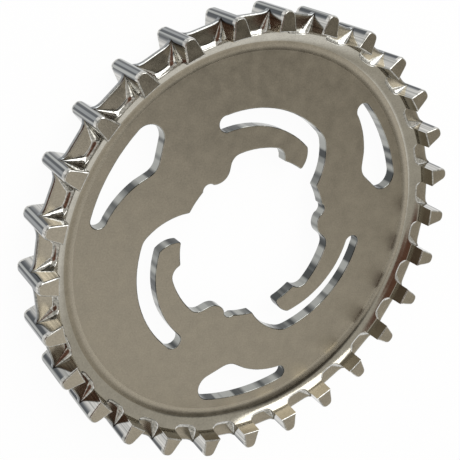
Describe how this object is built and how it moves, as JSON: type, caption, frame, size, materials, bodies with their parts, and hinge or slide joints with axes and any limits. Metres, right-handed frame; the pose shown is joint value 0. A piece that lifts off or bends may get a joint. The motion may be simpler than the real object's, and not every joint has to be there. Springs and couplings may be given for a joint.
{
  "type": "belt drive sprocket",
  "caption": "Flat steel belt sprocket: a toothed ring parted by a centre guide fin, a recessed web with curved windows, and spring arms that grip a bicycle hub driver.",
  "frame": {"origin": "on the axis, in the plane of the rear tooth ends that the sprocket lies on", "axes": "+Z along the axis towards the recessed front side, +X through the middle of a tooth"},
  "size_m": [0.0962, 0.0962, 0.0111],
  "materials": {
    "steel": "satin tumbled web, fin and tooth ends; bright polished crests, flanks, valleys, cove and cut walls"
  },
  "bodies": {
    "root": {"belt_sprocket": "steel"}
  },
  "joints": []
}
